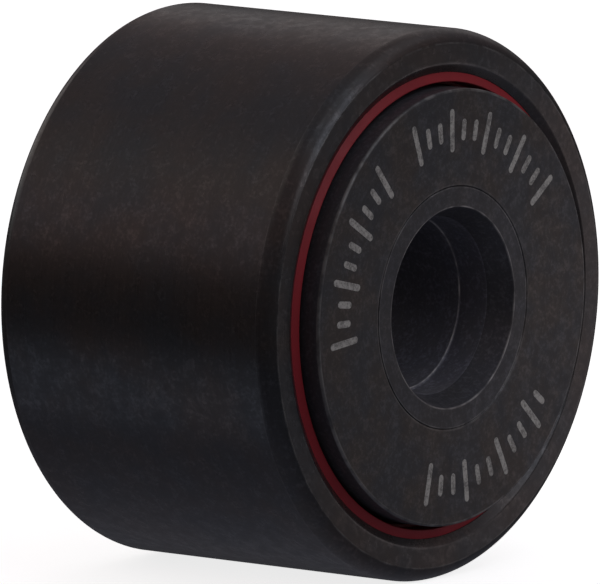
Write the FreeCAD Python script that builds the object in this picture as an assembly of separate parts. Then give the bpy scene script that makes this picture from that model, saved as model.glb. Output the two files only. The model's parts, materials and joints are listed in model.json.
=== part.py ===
import FreeCAD, Part
import math
import os

# Sealed yoke-type cam follower: a thick-walled roller that turns on a full set of needle rollers
# round a bored inner ring. Millimetres. The roller's axis is Y, the origin is the centre of the bore
# at mid-width, and the marked face looks towards -Y. Every piece is turned about Y or about a line
# parallel to it.

INCH = 25.4

# Driving dimensions
roller_radius = 1.0 * INCH / 2
roller_width = 0.625 * INCH
overall_width = 0.6875 * INCH
bore_radius = 0.3125 * INCH / 2
inner_race_radius = 0.4375 * INCH / 2
needle_radius = 0.078125 * INCH / 2
needle_count = 20
counterbore_radius = 10.70
counterbore_mouth_radius = 0.875 * INCH / 2
endplate_radius = 10.04
endplate_thickness = 2.67

# Running clearances, each on one side
needle_clearance = 0.02
needle_end_play = 0.06
thrust_clearance = 0.08
seal_clearance = 0.05

# Roller details
corner_radius = 0.90
face_edge_radius = 12.05
counterbore_mouth_depth = 0.24
race_edge = 0.25

# Endplate and inner ring details
endplate_edge = 0.10
endplate_seam_edge = 0.10
inner_ring_edge = 0.03
bore_chamfer_radial = 0.65
bore_chamfer_axial = 1.20
bore_relief = 0.12
oil_hole_radius = 0.09375 * INCH / 2
oil_groove_depth = 0.45
oil_groove_half_width = 1.5

# Needle details
needle_end_round = 0.25

# Seal section: a ring pressed into the counterbore, relieved inside above its base, with a sloped top
seal_base_top = 6.75
seal_relief_radius = 10.26
seal_inside_top = 7.86
seal_outside_top = 7.68

# Sizes that follow from the ones above
half_width = roller_width / 2
half_overall = overall_width / 2
endplate_inner_face = half_overall - endplate_thickness
roller_shoulder = endplate_inner_face - thrust_clearance
needle_half_length = endplate_inner_face - needle_end_play
pitch_radius = inner_race_radius + needle_clearance + needle_radius
outer_race_radius = pitch_radius + needle_radius + needle_clearance
seal_inner_radius = endplate_radius + seal_clearance

ORIGIN = FreeCAD.Vector(0, 0, 0)
AXIS = FreeCAD.Vector(0, 1, 0)
UP = FreeCAD.Vector(0, 0, 1)


def at(radius, along):
    """The place at this distance from the axis and this distance along it."""
    return FreeCAD.Vector(radius, along, 0)


def turned(steps):
    """A closed section spun round the axis. A step (radius, along) is a straight run to that place;
    a step (mid radius, mid along, radius, along) is an arc through the middle place."""
    ends = [at(*step[-2:]) for step in steps]
    starts = ends[-1:] + ends[:-1]
    edges = []
    for start, step, end in zip(starts, steps, ends):
        if len(step) == 2:
            edges.append(Part.makeLine(start, end))
        else:
            edges.append(Part.Arc(start, at(*step[:2]), end).toShape())
    return Part.Face(Part.Wire(edges)).revolve(ORIGIN, AXIS, 360)


def arc_step(centre_radius, centre_along, radius, start_angle, end_angle):
    """An arc step for turned(); angles are in radians from the radial direction."""
    step = []
    for angle in ((start_angle + end_angle) / 2, end_angle):
        step.append(centre_radius + radius * math.cos(angle))
        step.append(centre_along + radius * math.sin(angle))
    return tuple(step)


def both_halves(half):
    """A whole piece from the half on the +Y side of mid-width."""
    return half.fuse(half.mirror(ORIGIN, AXIS)).removeSplitter()


def outer_ring():
    """Roller: plain raceway, a thrust shoulder and flared counterbore at each end, rounded corners."""
    corner_r = roller_radius - corner_radius
    corner_angle = math.acos((face_edge_radius - corner_r) / corner_radius)
    corner_y = half_width - corner_radius * math.sin(corner_angle)
    half = turned([
        (outer_race_radius, 0),
        (outer_race_radius, roller_shoulder - race_edge),
        (outer_race_radius + race_edge, roller_shoulder),
        (counterbore_radius, roller_shoulder),
        (counterbore_radius, half_width - counterbore_mouth_depth),
        (counterbore_mouth_radius, half_width),
        (face_edge_radius, half_width),
        arc_step(corner_r, corner_y, corner_radius, corner_angle, 0),
        (roller_radius, 0),
    ])
    return both_halves(half)


def inner_ring():
    """Bored inner race with lead chamfers, relieved bore ends, and an oil groove and hole."""
    relief_radius = bore_radius + bore_relief
    chamfer_start = half_overall - bore_chamfer_axial
    groove_radius = bore_radius + oil_groove_depth
    half = turned([
        (groove_radius, 0),
        (groove_radius, oil_groove_half_width - oil_groove_depth),
        (bore_radius, oil_groove_half_width),
        (bore_radius, endplate_inner_face),
        (relief_radius, endplate_inner_face + bore_relief),
        (relief_radius, chamfer_start),
        (bore_radius + bore_chamfer_radial, half_overall),
        (inner_race_radius - inner_ring_edge, half_overall),
        (inner_race_radius, half_overall - inner_ring_edge),
        (inner_race_radius, 0),
    ])
    oil_hole = Part.makeCylinder(oil_hole_radius, 2 * bore_radius, ORIGIN, UP)
    return both_halves(half).cut(oil_hole)


def rear_endplate():
    """Thrust plate pressed on the inner ring, with broken edges."""
    return turned([
        (inner_race_radius, endplate_inner_face),
        (endplate_radius - endplate_edge, endplate_inner_face),
        (endplate_radius, endplate_inner_face + endplate_edge),
        (endplate_radius, half_overall - endplate_edge),
        (endplate_radius - endplate_edge, half_overall),
        (inner_race_radius + endplate_seam_edge, half_overall),
        (inner_race_radius, half_overall - endplate_seam_edge),
    ])


def rear_seal():
    """Elastomer ring: fills the counterbore round the endplate, up to the counterbore's flare."""
    return turned([
        (seal_inner_radius, roller_shoulder),
        (counterbore_radius, roller_shoulder),
        (counterbore_radius, seal_outside_top),
        (seal_relief_radius, seal_inside_top),
        (seal_relief_radius, seal_base_top),
        (seal_inner_radius, seal_base_top),
    ])


def needle(number):
    """One needle roller with rounded ends, at its place on the pitch circle."""
    straight = needle_half_length - needle_end_round
    flat_radius = needle_radius - needle_end_round
    roller = turned([
        (0, -needle_half_length),
        (flat_radius, -needle_half_length),
        arc_step(flat_radius, -straight, needle_end_round, -math.pi / 2, 0),
        (needle_radius, straight),
        arc_step(flat_radius, straight, needle_end_round, 0, math.pi / 2),
        (0, needle_half_length),
    ])
    place = 2 * math.pi * number / needle_count
    roller.translate(FreeCAD.Vector(pitch_radius * math.sin(place), 0, pitch_radius * math.cos(place)))
    return roller


def facing_front(piece):
    """The same piece at the other end of the roller."""
    return piece.mirror(ORIGIN, AXIS)


pieces = {
    "outer_ring": outer_ring(),
    "inner_ring": inner_ring(),
    "front_endplate": facing_front(rear_endplate()),
    "rear_endplate": rear_endplate(),
    "front_seal": facing_front(rear_seal()),
    "rear_seal": rear_seal(),
}
for number in range(needle_count):
    pieces[f"needle_{number + 1:02d}"] = needle(number)

os.makedirs("parts", exist_ok=True)
for name, piece in pieces.items():
    piece.exportStep(f"parts/{name}.step")
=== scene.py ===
import json
import math

import bpy
from mathutils import Matrix, Vector
from mathutils.geometry import delaunay_2d_cdt


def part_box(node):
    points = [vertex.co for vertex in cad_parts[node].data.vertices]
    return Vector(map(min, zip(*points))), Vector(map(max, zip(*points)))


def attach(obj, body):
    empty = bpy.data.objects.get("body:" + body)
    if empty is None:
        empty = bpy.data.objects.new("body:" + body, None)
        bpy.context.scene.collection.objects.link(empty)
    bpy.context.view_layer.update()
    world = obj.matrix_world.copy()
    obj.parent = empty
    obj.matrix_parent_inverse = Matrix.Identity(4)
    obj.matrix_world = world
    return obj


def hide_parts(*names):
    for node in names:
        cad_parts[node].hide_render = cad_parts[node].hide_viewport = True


# A sealed yoke-type cam follower. The roller's axis is Y, and the marked end looks towards -Y.
# Section sizes are in millimetres, as (distance from the axis, distance from mid-width).

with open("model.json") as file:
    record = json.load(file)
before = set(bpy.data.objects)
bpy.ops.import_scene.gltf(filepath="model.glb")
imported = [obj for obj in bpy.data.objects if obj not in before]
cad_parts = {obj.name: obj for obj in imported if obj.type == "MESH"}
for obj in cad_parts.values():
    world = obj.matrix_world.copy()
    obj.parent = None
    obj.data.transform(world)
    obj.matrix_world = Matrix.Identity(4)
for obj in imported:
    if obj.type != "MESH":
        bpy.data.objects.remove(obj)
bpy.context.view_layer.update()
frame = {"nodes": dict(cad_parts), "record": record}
MM = 0.001

# ---------------------------------------------------------------- sizes from the frame


def mm_box(node):
    """Low and high corner of a CAD node, in millimetres."""
    low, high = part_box(node)
    return low / MM, high / MM


_, roller_high = mm_box("outer_ring")
plate_low, plate_high = mm_box("rear_endplate")
seal_low, seal_high = mm_box("rear_seal")
_, race_high = mm_box("inner_ring")
needle_low, needle_high = mm_box("needle_01")
mounts = {mount["name"]: mount for mount in frame["record"]["mounts"]}

roller_radius = roller_high.x
half_width = roller_high.y
endplate_radius = plate_high.x
endplate_inner_face = plate_low.y
half_overall = race_high.y
race_radius = race_high.x
bore_radius = mounts["bore"]["dims"]["r_mm"]
counterbore_radius = seal_high.x
roller_shoulder = seal_low.y
needle_radius = (needle_high.x - needle_low.x) / 2
needle_half_length = needle_high.y
pitch_radius = (needle_high.z + needle_low.z) / 2
needle_count = sum(name.startswith("needle_") for name in frame["nodes"])

# ---------------------------------------------------------------- sizes of the finish

SPIN_STEPS = 288
NEEDLE_SPIN_STEPS = 64
HOLE_STEPS = 48
ROUND_STEPS = 5
WEAR_FADE = 0.05

corner_start_angle = math.radians(10)
corner_end_angle = math.radians(72)
corner_start_round = 0.06
corner_crisp_round = 0.10
face_edge_radius = 12.05
counterbore_mouth_radius = 11.11
counterbore_mouth_depth = 0.24
needle_clearance = 0.02
raceway_radius = pitch_radius + needle_radius + needle_clearance
edge_break = 0.10
bore_edge_radius = bore_radius + 0.65
bore_chamfer_depth = 1.20
bore_relief_radius = bore_radius + 0.12
bore_relief_step = 0.01
oil_groove_depth = 0.45
oil_groove_radius = bore_radius + oil_groove_depth
oil_groove_half_width = 1.5
oil_hole_radius = 1.19
seal_clearance = 0.05
seal_inner_radius = endplate_radius + seal_clearance
seal_base_top = 6.75
seal_relief_radius = 10.26
seal_slope = 0.18

# ---------------------------------------------------------------- marks, light and camera settings

MARK_GROUPS = ((35, 109, 13), (129, 185, 10), (257, 323, 11))
LONG_TICK = (7.15, 9.15)
SHORT_TICK = (7.65, 8.65)
TICK_WIDTH = 0.32

# Room brightness by elevation in degrees, dark at eye level and lighter towards table and ceiling
ROOM_LEVELS = (
    (-90, (0.26, 0.27, 0.31)),
    (-60, (0.20, 0.20, 0.24)),
    (-32, (0.11, 0.11, 0.13)),
    (-15, (0.03, 0.03, 0.03)),
    (-5, (0.04, 0.04, 0.04)),
    (6, (0.04, 0.04, 0.04)),
    (16, (0.14, 0.11, 0.11)),
    (28, (0.24, 0.19, 0.19)),
    (45, (0.22, 0.19, 0.20)),
    (70, (0.26, 0.24, 0.26)),
    (90, (0.36, 0.36, 0.38)),
)
# Softboxes: name, azimuth, elevation, distance in metres, width and height in degrees, brightness, tint
SOFTBOXES = (
    ("key", 0, 58, 0.6, 40, 24, 0.45, (0.92, 1.0, 1.06)),
    ("front", 15, 26, 0.6, 28, 28, 1.45, (0.94, 1.0, 1.10)),
    ("front_right_high", 58, 50, 0.6, 36, 26, 0.30, (0.92, 1.0, 1.10)),
    ("right_card", 57, -9, 0.05, 34, 30, 0.46, (1.08, 0.97, 1.0)),
    ("back_right", 114, 30, 0.6, 36, 36, 0.20, (0.98, 1.0, 1.0)),
    ("back", 178, 22, 0.6, 40, 30, 0.60, (1.0, 1.0, 0.97)),
    ("back_left", 228, 23, 0.6, 50, 18, 0.34, (1.15, 0.95, 0.95)),
    ("left_high", 240, 50, 0.6, 36, 30, 0.40, (1.0, 1.0, 0.95)),
    ("left_low", 236, -30, 0.6, 44, 24, 0.25, (0.92, 0.98, 1.15)),
)

CAMERA_AZIMUTH = -52.2
CAMERA_ELEVATION = 8.3
CAMERA_DISTANCE = 0.781
CAMERA_LENS = 1021
CAMERA_ASIDE = -0.08
CAMERA_RAISED = -0.06

# ---------------------------------------------------------------- turned sections


class Corner:
    """A section's corner, rounded to a small radius. Wear is how bare the metal is on it."""

    def __init__(self, radius, along, rounding, wear=0.0):
        self.place = Vector((radius, along))
        self.entry = self.exit = self.place
        self.rounding = rounding
        self.wear = wear

    def points(self, before, after):
        """(place, outward normal, wear) of each point, for a section that runs counter-clockwise."""
        heading_in = (self.place - before).normalized()
        heading_out = (after - self.place).normalized()
        turn = -heading_in.angle_signed(heading_out)
        setback = self.rounding * math.tan(abs(turn) / 2)
        start = self.place - heading_in * setback
        out = Vector((heading_in.y, -heading_in.x))
        bulge = math.copysign(self.rounding, turn)
        centre = start - out * bulge
        found = []
        for step in range(ROUND_STEPS + 1):
            normal = Matrix.Rotation(turn * step / ROUND_STEPS, 2) @ out
            found.append((centre + normal * bulge, normal, self.wear))
        if self.wear:
            end = found[-1]
            room = min((start - before).length, (after - end[0]).length)
            fade = min(WEAR_FADE, room / 2)
            found.insert(0, (start - heading_in * fade, out, 0.0))
            found.append((end[0] + heading_out * fade, end[1], 0.0))
        return found


class Tip:
    """Where a section meets the axis, on an end that looks along +Y (1) or -Y (-1)."""

    def __init__(self, along, looks):
        self.entry = self.exit = Vector((0, along))
        self.normal = Vector((0, looks))

    def points(self, before, after):
        return [(self.exit, self.normal, 0.0)]


class Sweep:
    """An arc of a section that is larger than a rounded corner, bulging outwards."""

    def __init__(self, centre, radius, start, end, steps, wear=0.0):
        self.centre = Vector(centre)
        self.radius = radius
        self.angles = [start + (end - start) * i / steps for i in range(steps + 1)]
        self.wear = wear
        self.entry = self.at(start)
        self.exit = self.at(end)

    def at(self, angle):
        return self.centre + self.radius * Vector((math.cos(angle), math.sin(angle)))

    def points(self, before, after):
        return [(self.at(a), Vector((math.cos(a), math.sin(a))), self.wear) for a in self.angles]


def section(items):
    """All points of a closed section, in order."""
    found = []
    for i, item in enumerate(items):
        found += item.points(items[i - 1].exit, items[(i + 1) % len(items)].entry)
    return found


def mirrored(items):
    """The same outline at the other end, still running counter-clockwise."""
    found = []
    for item in reversed(items):
        if isinstance(item, Corner):
            place = item.place
            found.append(Corner(place.x, -place.y, item.rounding, item.wear))
        else:
            centre = (item.centre.x, -item.centre.y)
            steps = len(item.angles) - 1
            angles = (-item.angles[-1], -item.angles[0])
            found.append(Sweep(centre, item.radius, *angles, steps, item.wear))
    return found


class Surface:
    """A mesh in the making: places in millimetres, outward normals, wear, faces and finishes."""

    def __init__(self):
        self.places = []
        self.normals = []
        self.wear = []
        self.faces = []
        self.finishes = []

    def add(self, place, normal, wear=0.0):
        self.places.append(place)
        self.normals.append(normal)
        self.wear.append(wear)
        return len(self.places) - 1

    def spin(self, points, steps, open_after=None, finishes=None):
        """Turns a section round Y. open_after leaves out the strip that starts at that point. finishes
        holds the finish of the strip that starts at each point; without it they all take the first."""
        rings = []
        for step in range(steps):
            angle = 2 * math.pi * step / steps
            c, s = math.cos(angle), math.sin(angle)
            ring = []
            for i, (place, normal, wear) in enumerate(points):
                if place.x == 0 and rings:
                    ring.append(rings[0][i])
                else:
                    at = Vector((place.x * c, place.y, place.x * s))
                    out = Vector((normal.x * c, normal.y, normal.x * s))
                    ring.append(self.add(at, out, wear))
            rings.append(ring)
        count = len(points)
        for step in range(steps):
            here, there = rings[step], rings[(step + 1) % steps]
            for i in range(count):
                j = (i + 1) % count
                corners = tuple(dict.fromkeys((here[i], here[j], there[j], there[i])))
                if i != open_after and len(corners) > 2:
                    self.faces.append(corners)
                    self.finishes.append(finishes[i] if finishes else 0)
        return rings

    def build(self, name, finishes):
        mesh = bpy.data.meshes.new(name)
        mesh.from_pydata([p * MM for p in self.places], [], self.faces)
        for finish in finishes:
            mesh.materials.append(finish)
        mesh.polygons.foreach_set("material_index", self.finishes)
        mesh.shade_smooth()
        attribute = mesh.attributes.new("wear", "FLOAT", "POINT")
        attribute.data.foreach_set("value", self.wear)
        mesh.normals_split_custom_set_from_vertices(self.normals)
        mesh.update()
        piece = bpy.data.objects.new(name, mesh)
        bpy.context.collection.objects.link(piece)
        return piece


def stand_for(piece, node, body):
    """The piece takes the place of its CAD node."""
    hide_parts(node)
    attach(piece, body)
    return piece


# ---------------------------------------------------------------- shader helpers


class Shader:
    """One node tree, with short ways to add nodes to it."""

    def __init__(self, name):
        self.material = bpy.data.materials.new(name)
        self.material.use_nodes = True
        self.tree = self.material.node_tree
        self.tree.nodes.clear()

    def add(self, kind, settings=None, **inputs):
        made = self.tree.nodes.new(kind)
        for key, value in (settings or {}).items():
            setattr(made, key, value)
        for key, value in inputs.items():
            found = made.inputs[int(key[1:])] if key[0] == "i" and key[1:].isdigit() else None
            socket = found or made.inputs[key.replace("_", " ")]
            if isinstance(value, bpy.types.NodeSocket):
                self.tree.links.new(value, socket)
            else:
                socket.default_value = value
        return made

    def math(self, operation, a, b=0.0):
        return self.add("ShaderNodeMath", {"operation": operation}, i0=a, i1=b).outputs[0]

    def noise(self, vector, scale, detail=4.0, roughness=0.55):
        made = self.add("ShaderNodeTexNoise", Vector=vector, Scale=scale, Detail=detail, Roughness=roughness)
        return made.outputs["Fac"]

    def ramp(self, value, low, high, start=0.0, end=1.0):
        """A smooth step of the value from low to high, scaled to start..end."""
        settings = {"interpolation_type": "SMOOTHSTEP"}
        inputs = {"Value": value, "i1": low, "i2": high, "i3": start, "i4": end}
        return self.add("ShaderNodeMapRange", settings, **inputs).outputs[0]

    def mix(self, factor, a, b):
        settings = {"data_type": "RGBA"}
        return self.add("ShaderNodeMix", settings, i0=factor, i6=a, i7=b).outputs[2]

    def finish(self, **inputs):
        shader = self.add("ShaderNodeBsdfPrincipled", **inputs)
        self.add("ShaderNodeOutputMaterial", Surface=shader.outputs[0])
        return self.material


def turned_places(shader, across, along):
    """Coordinates that are stretched round the axis, so that noise in them looks like lathe or
    grinding lines. across counts lines per metre, along is how fast they change round the piece."""
    place = shader.add("ShaderNodeTexCoord").outputs["Object"]
    parts = shader.add("ShaderNodeSeparateXYZ", Vector=place).outputs
    squares = [shader.math("MULTIPLY", parts[i], parts[i]) for i in (0, 2)]
    radius = shader.math("SQRT", shader.math("ADD", *squares))
    lines = shader.math("MULTIPLY", shader.math("ADD", parts[1], radius), across)
    x = shader.math("MULTIPLY", parts[0], along)
    z = shader.math("MULTIPLY", parts[2], along)
    combined = shader.add("ShaderNodeCombineXYZ", X=x, Y=lines, Z=z)
    return place, combined.outputs[0]


def colour(red, green, blue):
    return (red, green, blue, 1.0)


def black_oxide(name, brown, blue, roughness, patches, bare=0.10, metallic=0.45):
    """Oxide-blackened steel: a mottled dark brown to blue-black film with faint grinding lines. It is
    speckled where it is thin, and worn on the edges."""
    shader = Shader(name)
    place, lined = turned_places(shader, 9000.0, 60.0)
    cloud = shader.noise(place, patches, 5.0, 0.62)
    mottle = shader.noise(place, 1500.0, 4.0, 0.68)
    fine = shader.noise(place, 6000.0, 2.0, 0.6)
    lines = shader.noise(lined, 1.0, 3.0, 0.7)
    tone = shader.mix(shader.ramp(cloud, 0.36, 0.64), blue, brown)
    speckle = shader.ramp(shader.math("ADD", mottle, fine), 0.92, 1.40, -0.10, 0.60)
    grain = shader.math("ADD", shader.ramp(lines, 0.3, 0.7, 0.93, 1.07), speckle)
    grain_colour = shader.add("ShaderNodeCombineXYZ", X=grain, Y=grain, Z=grain).outputs[0]
    settings = {"data_type": "RGBA", "blend_type": "MULTIPLY"}
    toned = shader.add("ShaderNodeMix", settings, i0=1.0, i6=tone, i7=grain_colour).outputs[2]
    worn = shader.add("ShaderNodeAttribute", {"attribute_name": "wear"}).outputs["Fac"]
    scuffs = shader.ramp(shader.noise(place, 900.0, 3.0, 0.6), 0.38, 0.66, 0.15, 1.0)
    worn = shader.math("MULTIPLY", worn, scuffs)
    base = shader.mix(worn, toned, colour(bare, bare * 0.98, bare * 0.97))
    gloss = shader.ramp(mottle, 0.3, 0.7, roughness * 1.22, roughness * 0.82)
    gloss = shader.math("ADD", gloss, shader.math("MULTIPLY", shader.math("SUBTRACT", lines, 0.5), 0.06))
    relief = shader.math("ADD", lines, shader.math("MULTIPLY", fine, 0.6))
    bump = shader.add("ShaderNodeBump", Strength=0.2, Distance=0.00001, Height=relief)
    return shader.finish(Base_Color=base, Metallic=metallic, Roughness=gloss, Normal=bump.outputs[0])


def elastomer():
    """Red seal rubber, smooth and slightly glossy."""
    shader = Shader("red_elastomer")
    place = shader.add("ShaderNodeTexCoord").outputs["Object"]
    cloud = shader.noise(place, 700.0, 4.0, 0.6)
    tone = shader.mix(cloud, colour(0.27, 0.022, 0.030), colour(0.41, 0.034, 0.046))
    pores = shader.noise(place, 9000.0, 2.0, 0.5)
    bump = shader.add("ShaderNodeBump", Strength=0.15, Distance=0.00001, Height=pores)
    gloss = shader.ramp(cloud, 0.3, 0.7, 0.46, 0.36)
    surface = {"Base Color": tone, "Roughness": gloss, "Normal": bump.outputs[0], "Specular IOR Level": 0.2}
    return shader.finish(**surface)


def bearing_steel():
    """Ground and bright needle steel."""
    shader = Shader("bearing_steel")
    place, lined = turned_places(shader, 12000.0, 90.0)
    lines = shader.noise(lined, 1.0, 3.0, 0.7)
    cloud = shader.noise(place, 500.0, 3.0, 0.5)
    tone = shader.mix(cloud, colour(0.50, 0.50, 0.51), colour(0.60, 0.60, 0.61))
    gloss = shader.ramp(lines, 0.2, 0.8, 0.16, 0.30)
    bump = shader.add("ShaderNodeBump", Strength=0.1, Distance=0.000005, Height=lines)
    return shader.finish(Base_Color=tone, Metallic=1.0, Roughness=gloss, Normal=bump.outputs[0])


def etched_steel():
    """The pale, matt surface that marking leaves in the black film."""
    shader = Shader("etched_marks")
    place = shader.add("ShaderNodeTexCoord").outputs["Object"]
    speckle = shader.noise(place, 9000.0, 2.0, 0.7)
    cloud = shader.noise(place, 1500.0, 3.0, 0.6)
    cover = shader.ramp(shader.math("ADD", speckle, cloud), 0.75, 1.2)
    tone = shader.mix(cover, colour(0.20, 0.195, 0.185), colour(0.50, 0.49, 0.46))
    return shader.finish(Base_Color=tone, Metallic=0.2, Roughness=0.62)


tread_brown, tread_blue = colour(0.051, 0.041, 0.038), colour(0.036, 0.038, 0.043)
plate_brown, plate_blue = colour(0.051, 0.043, 0.039), colour(0.036, 0.039, 0.046)
race_brown, race_blue = colour(0.040, 0.040, 0.044), colour(0.036, 0.039, 0.048)
# Lighter copy of the oxide colours: painted light on the lead chamfer in the bore mouth.
painted_light_lead_grey, painted_light_lead_blue = colour(0.072, 0.072, 0.080), colour(0.066, 0.068, 0.082)
# Lighter copy of the oxide colours: painted light on the endplate's outer wall, in the shaded gap by the
# seal.
painted_light_wall_grey, painted_light_wall_blue = colour(0.058, 0.058, 0.064), colour(0.054, 0.056, 0.066)
# Lighter copy of the oxide colours: painted light inside the bore, where little light reaches.
painted_light_bore_grey, painted_light_bore_blue = colour(0.155, 0.155, 0.178), colour(0.145, 0.151, 0.186)
roller_steel = black_oxide("black_oxide_ground", tread_brown, tread_blue, 0.30, 150.0, bare=0.20)
plate_steel = black_oxide("black_oxide_plate", plate_brown, plate_blue, 0.40, 320.0, bare=0.22)
race_steel = black_oxide("black_oxide_race", race_brown, race_blue, 0.38, 320.0, bare=0.40)
# Lighter, less metallic copy of the oxide: painted light on the bore's lead chamfer.
painted_light_lead_steel = black_oxide("lead_oxide_painted_light", painted_light_lead_grey, painted_light_lead_blue, 0.42, 320.0, bare=0.40, metallic=0.3)
# Lighter, less metallic copy of the oxide: painted light on the endplate's shaded outer wall.
painted_light_wall_steel = black_oxide("wall_oxide_painted_light", painted_light_wall_grey, painted_light_wall_blue, 0.42, 320.0, bare=0.22, metallic=0.1)
# Lighter, less metallic copy of the oxide: painted light inside the bore.
painted_light_bore_steel = black_oxide("bore_oxide_painted_light", painted_light_bore_grey, painted_light_bore_blue, 0.45, 320.0, bare=0.60, metallic=0.1)
seal_rubber = elastomer()
needle_steel = bearing_steel()
mark_steel = etched_steel()

# ---------------------------------------------------------------- pieces


def body_with(node):
    bodies = frame["record"]["behaviour"]["bodies"]
    return next(name for name, nodes in bodies.items() if node in nodes)


def spun(name, items, finish):
    """A piece that is one turned section."""
    surface = Surface()
    surface.spin(section(items), SPIN_STEPS)
    return surface.build(name, [finish])


def outer_ring():
    """Roller: counterbored ends, and corners that meet the tread and the faces on faint crisp lines."""
    fall = math.cos(corner_start_angle) - math.cos(corner_end_angle)
    corner_round = (roller_radius - face_edge_radius) / fall
    centre = (
        face_edge_radius - corner_round * math.cos(corner_end_angle),
        half_width - corner_round * math.sin(corner_end_angle),
    )
    tread_edge = centre[1] + corner_round * math.sin(corner_start_angle)
    first, last = corner_start_angle + math.radians(3), corner_end_angle - math.radians(6)
    half = [
        Corner(roller_radius, tread_edge, corner_start_round, wear=0.25),
        Sweep(centre, corner_round, first, last, 20),
        Corner(face_edge_radius, half_width, corner_crisp_round, wear=0.55),
        Corner(counterbore_mouth_radius, half_width, 0.25, wear=0.12),
        Corner(counterbore_radius, half_width - counterbore_mouth_depth, 0.03),
        Corner(counterbore_radius, roller_shoulder, 0.10),
        Corner(raceway_radius, roller_shoulder, 0.20),
    ]
    piece = spun("roller_outer_ring", half + mirrored(half), roller_steel)
    return stand_for(piece, "outer_ring", "roller")


def drill(piece, radius, depth):
    """Drills a hole from the axis straight up through the piece's wall."""
    bit = Surface()
    outline = [(0, 0), (radius, 0), (radius, depth), (0, depth)]
    bit.spin([(Vector(place), Vector((1, 0)), 0.0) for place in outline], HOLE_STEPS)
    tool = bit.build("oil_hole_bit", [race_steel])
    tool.matrix_world = Matrix.Rotation(math.pi / 2, 4, "X")
    cut = piece.modifiers.new("oil_hole", "BOOLEAN")
    cut.object = tool
    bpy.context.view_layer.update()
    ready = piece.evaluated_get(bpy.context.evaluated_depsgraph_get())
    drilled = bpy.data.meshes.new_from_object(ready)
    piece.modifiers.clear()
    piece.data = drilled
    bpy.data.objects.remove(tool)


def inner_ring():
    """Inner race: lead chamfers, bore ends relieved by a small step, an oil groove and an oil hole."""
    half = [
        Corner(race_radius, half_overall, 0.03, wear=0.4),
        Corner(bore_edge_radius, half_overall, 0.04, wear=0.7),
        Corner(bore_relief_radius, half_overall - bore_chamfer_depth, 0.15),
        Corner(bore_relief_radius, endplate_inner_face + bore_relief_step, 0.01),
        Corner(bore_radius, endplate_inner_face, 0.03, wear=1.0),
        Corner(bore_radius, oil_groove_half_width, 0.05),
        Corner(oil_groove_radius, oil_groove_half_width - oil_groove_depth, 0.10),
    ]
    points = section(half + mirrored(half))
    # Strips in the bore and on the lead chamfer take the lighter oxide copies: painted light where little
    # light reaches.
    finishes = []
    for place, _, _ in points:
        in_bore = place.x < bore_relief_radius + 0.01
        in_lead = not in_bore and place.x < bore_edge_radius - 0.03
        finishes.append(1 if in_bore else 2 if in_lead else 0)
    surface = Surface()
    surface.spin(points, SPIN_STEPS, finishes=finishes)
    piece = surface.build("bored_inner_ring", [race_steel, painted_light_bore_steel, painted_light_lead_steel])
    return stand_for(piece, "inner_ring", "fixed_core")


def wall_finishes(points):
    """Finish of each strip of the endplate: the second one, a lighter copy of the oxide with painted light,
    on its outer wall.
    """
    on_wall = [place.x > endplate_radius - 0.005 for place, _, _ in points]
    return [int(here and there) for here, there in zip(on_wall, on_wall[1:] + on_wall[:1])]


def plate_outline():
    """Section of the endplate at the +Y end."""
    return [
        Corner(race_radius, endplate_inner_face, 0.05),
        Corner(endplate_radius, endplate_inner_face, edge_break),
        Corner(endplate_radius, half_overall, edge_break, wear=0.75),
        Corner(race_radius, half_overall, 0.10, wear=0.35),
    ]


def rear_endplate():
    points = section(plate_outline())
    surface = Surface()
    surface.spin(points, SPIN_STEPS, finishes=wall_finishes(points))
    piece = surface.build("endplate_rear", [plate_steel, painted_light_wall_steel])
    return stand_for(piece, "rear_endplate", "fixed_core")


def tick(angle, inner, outer, width):
    """Outline of one round-ended radial mark, seen from the marked end, in millimetres."""
    out = Vector((math.cos(angle), math.sin(angle)))
    side = Vector((-out.y, out.x)) * width / 2
    outline = []
    for centre, start in ((outer - width / 2, -math.pi / 2), (inner + width / 2, math.pi / 2)):
        for step in range(7):
            turn = start + math.pi * step / 6
            outline.append(out * centre + out * math.cos(turn) * width / 2 + side * math.sin(turn))
    return outline


def marks():
    """Plain index ticks in three groups round the marked face: every third tick is a long one."""
    outlines = []
    for first, last, count in MARK_GROUPS:
        for i in range(count):
            angle = math.radians(first + (last - first) * i / (count - 1))
            inner, outer = LONG_TICK if i % 3 == 0 else SHORT_TICK
            outlines.append(tick(angle, inner, outer, TICK_WIDTH))
    return outlines


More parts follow.
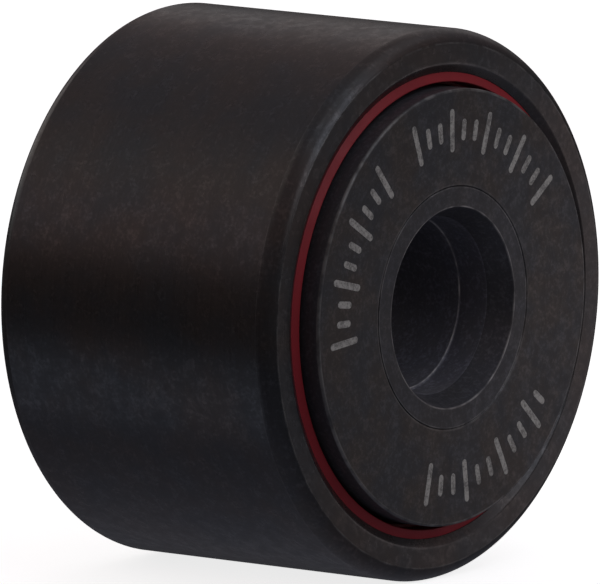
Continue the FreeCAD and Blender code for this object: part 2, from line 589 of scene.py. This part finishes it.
def front_endplate():
    """The marked endplate. Its flat face is filled round the marks, so that they are part of it."""
    items = mirrored(plate_outline())
    points = section(items)
    rim = len(items[0].points(items[-1].exit, items[1].entry)) - 1
    surface = Surface()
    rings = surface.spin(points, SPIN_STEPS, open_after=rim, finishes=wall_finishes(points))
    edges_of_face = [ring[rim] for ring in rings], [ring[rim + 1] for ring in rings]
    known = edges_of_face[0] + edges_of_face[1]
    flat = [Vector((surface.places[v].x, surface.places[v].z)) for v in known]
    loops = [(i, (i + 1) % SPIN_STEPS) for i in range(SPIN_STEPS)]
    loops += [(a + SPIN_STEPS, b + SPIN_STEPS) for a, b in loops]
    outlines = []
    for outline in marks():
        outlines.append(list(range(len(flat), len(flat) + len(outline))))
        flat += outline
    places, _, triangles, origins, _, owners = delaunay_2d_cdt(flat, loops, outlines, 0, 1e-7)
    face_y = surface.places[known[0]].y
    looks = Vector((0, -1, 0))
    index = []
    for place, origin in zip(places, origins):
        old = next((o for o in origin if o < len(known)), None)
        at = Vector((place.x, face_y, place.y))
        index.append(surface.add(at, looks) if old is None else known[old])
    inner_radius = min(Vector((p.x, p.y)).length for p in flat)
    for triangle, owner in zip(triangles, owners):
        middle = sum((places[i] for i in triangle), Vector((0, 0))) / len(triangle)
        if middle.length > inner_radius:
            surface.faces.append(tuple(index[i] for i in triangle))
            surface.finishes.append(2 if owner else 0)
    piece = surface.build("endplate_front", [plate_steel, painted_light_wall_steel, mark_steel])
    return stand_for(piece, "front_endplate", "fixed_core")


def seal_outline():
    """Section of the seal at the +Y end: it fills the counterbore up to the flare, and its top slopes."""
    return [
        Corner(seal_inner_radius, roller_shoulder, 0.05),
        Corner(counterbore_radius, roller_shoulder, 0.05),
        Corner(counterbore_radius, seal_high.y - seal_slope, 0.02),
        Corner(seal_relief_radius, seal_high.y, 0.05),
        Corner(seal_relief_radius, seal_base_top, 0.05),
        Corner(seal_inner_radius, seal_base_top, 0.05),
    ]


def seals():
    for node, items in (("rear_seal", seal_outline()), ("front_seal", mirrored(seal_outline()))):
        piece = spun("red_" + node, items, seal_rubber)
        stand_for(piece, node, "roller")


def needles():
    """The full set of needle rollers, round the pitch circle."""
    items = [
        Tip(-needle_half_length, -1),
        Corner(needle_radius, -needle_half_length, 0.25),
        Corner(needle_radius, needle_half_length, 0.25),
        Tip(needle_half_length, 1),
    ]
    surface = Surface()
    points = section(items)
    surface.spin(points, NEEDLE_SPIN_STEPS, open_after=len(points) - 1)
    mesh = surface.build("needle_roller", [needle_steel]).data
    bpy.data.objects.remove(bpy.data.objects["needle_roller"])
    for number in range(needle_count):
        node = f"needle_{number + 1:02d}"
        low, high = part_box(node)
        piece = bpy.data.objects.new(f"roller_{node}", mesh)
        piece.location = (low + high) / 2
        bpy.context.collection.objects.link(piece)
        stand_for(piece, node, body_with(node))


outer_ring()
drill(inner_ring(), oil_hole_radius, race_radius + 1)
front_endplate()
rear_endplate()
seals()
needles()

# ---------------------------------------------------------------- stage, light and camera


def direction(azimuth, elevation):
    """Unit vector from the object towards a viewer; azimuth 0 looks along +Y, 90 along -X."""
    a, e = math.radians(azimuth), math.radians(elevation)
    return Vector((math.sin(a) * math.cos(e), -math.cos(a) * math.cos(e), math.sin(e)))


def floor():
    """Pale floor, just under the roller. It partly glows, so that its shadow stays faint."""
    mesh = bpy.data.meshes.new("floor")
    z = -roller_radius * MM
    mesh.from_pydata([(x, y, z) for x, y in ((-3, -3), (3, -3), (3, 3), (-3, 3))], [], [(0, 1, 2, 3)])
    shader = Shader("pale_floor")
    pale = colour(0.8, 0.8, 0.8)
    glow = {"Emission Color": colour(1, 1, 1), "Emission Strength": 0.8}
    mesh.materials.append(shader.finish(Base_Color=pale, Roughness=0.9, **glow))
    piece = bpy.data.objects.new("floor", mesh)
    bpy.context.collection.objects.link(piece)
    piece.visible_glossy = False
    piece.visible_diffuse = False


def softbox(name, azimuth, elevation, distance, width, height, brightness, tint):
    """A rectangular light that faces the roller. Its size is the angle that the roller sees."""
    light = bpy.data.lights.new(name, "AREA")
    light.shape = "RECTANGLE"
    light.size = 2 * distance * math.tan(math.radians(width / 2))
    light.size_y = 2 * distance * math.tan(math.radians(height / 2))
    light.energy = brightness * math.pi * light.size * light.size_y
    light.color = tint
    lamp = bpy.data.objects.new(name, light)
    towards = direction(azimuth, elevation)
    lamp.location = towards * distance
    lamp.rotation_mode = "QUATERNION"
    lamp.rotation_quaternion = towards.to_track_quat("Z", "Y")
    lamp.visible_camera = False
    bpy.context.collection.objects.link(lamp)


def surroundings():
    """The room's light: its brightness follows the elevation. Behind the object there is plain white."""
    world = bpy.data.worlds.new("studio")
    bpy.context.scene.world = world
    world.use_nodes = True
    tree = world.node_tree
    tree.nodes.clear()
    coords = tree.nodes.new("ShaderNodeTexCoord")
    parts = tree.nodes.new("ShaderNodeSeparateXYZ")
    tree.links.new(coords.outputs["Generated"], parts.inputs[0])
    elevation = tree.nodes.new("ShaderNodeMath")
    elevation.operation = "ARCSINE"
    tree.links.new(parts.outputs["Z"], elevation.inputs[0])
    height = tree.nodes.new("ShaderNodeMapRange")
    height.inputs["From Min"].default_value = -math.pi / 2
    height.inputs["From Max"].default_value = math.pi / 2
    tree.links.new(elevation.outputs[0], height.inputs["Value"])
    ramp = tree.nodes.new("ShaderNodeValToRGB")
    tree.links.new(height.outputs[0], ramp.inputs[0])
    stops = ramp.color_ramp.elements
    for degrees, level in ROOM_LEVELS:
        if degrees == -90:
            stop = stops[0]
        elif degrees == 90:
            stop = stops[-1]
        else:
            stop = stops.new((degrees + 90) / 180)
        stop.color = colour(*level)
    sky = tree.nodes.new("ShaderNodeBackground")
    tree.links.new(ramp.outputs[0], sky.inputs["Color"])
    white = tree.nodes.new("ShaderNodeBackground")
    white.inputs["Strength"].default_value = 1.3
    path = tree.nodes.new("ShaderNodeLightPath")
    choose = tree.nodes.new("ShaderNodeMixShader")
    tree.links.new(path.outputs["Is Camera Ray"], choose.inputs[0])
    tree.links.new(sky.outputs[0], choose.inputs[1])
    tree.links.new(white.outputs[0], choose.inputs[2])
    out = tree.nodes.new("ShaderNodeOutputWorld")
    tree.links.new(choose.outputs[0], out.inputs[0])


def camera():
    data = bpy.data.cameras.new("camera")
    data.sensor_width = 36
    data.lens = CAMERA_LENS
    data.clip_start = 0.05
    data.clip_end = 20
    rig = bpy.data.objects.new("camera", data)
    back = direction(CAMERA_AZIMUTH, CAMERA_ELEVATION)
    rig.rotation_mode = "QUATERNION"
    rig.rotation_quaternion = back.to_track_quat("Z", "Y")
    side, up = (rig.rotation_quaternion @ Vector(v) for v in ((1, 0, 0), (0, 1, 0)))
    aim = (side * CAMERA_ASIDE + up * CAMERA_RAISED) * MM
    rig.location = aim + back * CAMERA_DISTANCE
    bpy.context.collection.objects.link(rig)
    bpy.context.scene.camera = rig


floor()
surroundings()
for light in SOFTBOXES:
    softbox(*light)
camera()
bpy.context.scene.view_settings.view_transform = "Standard"
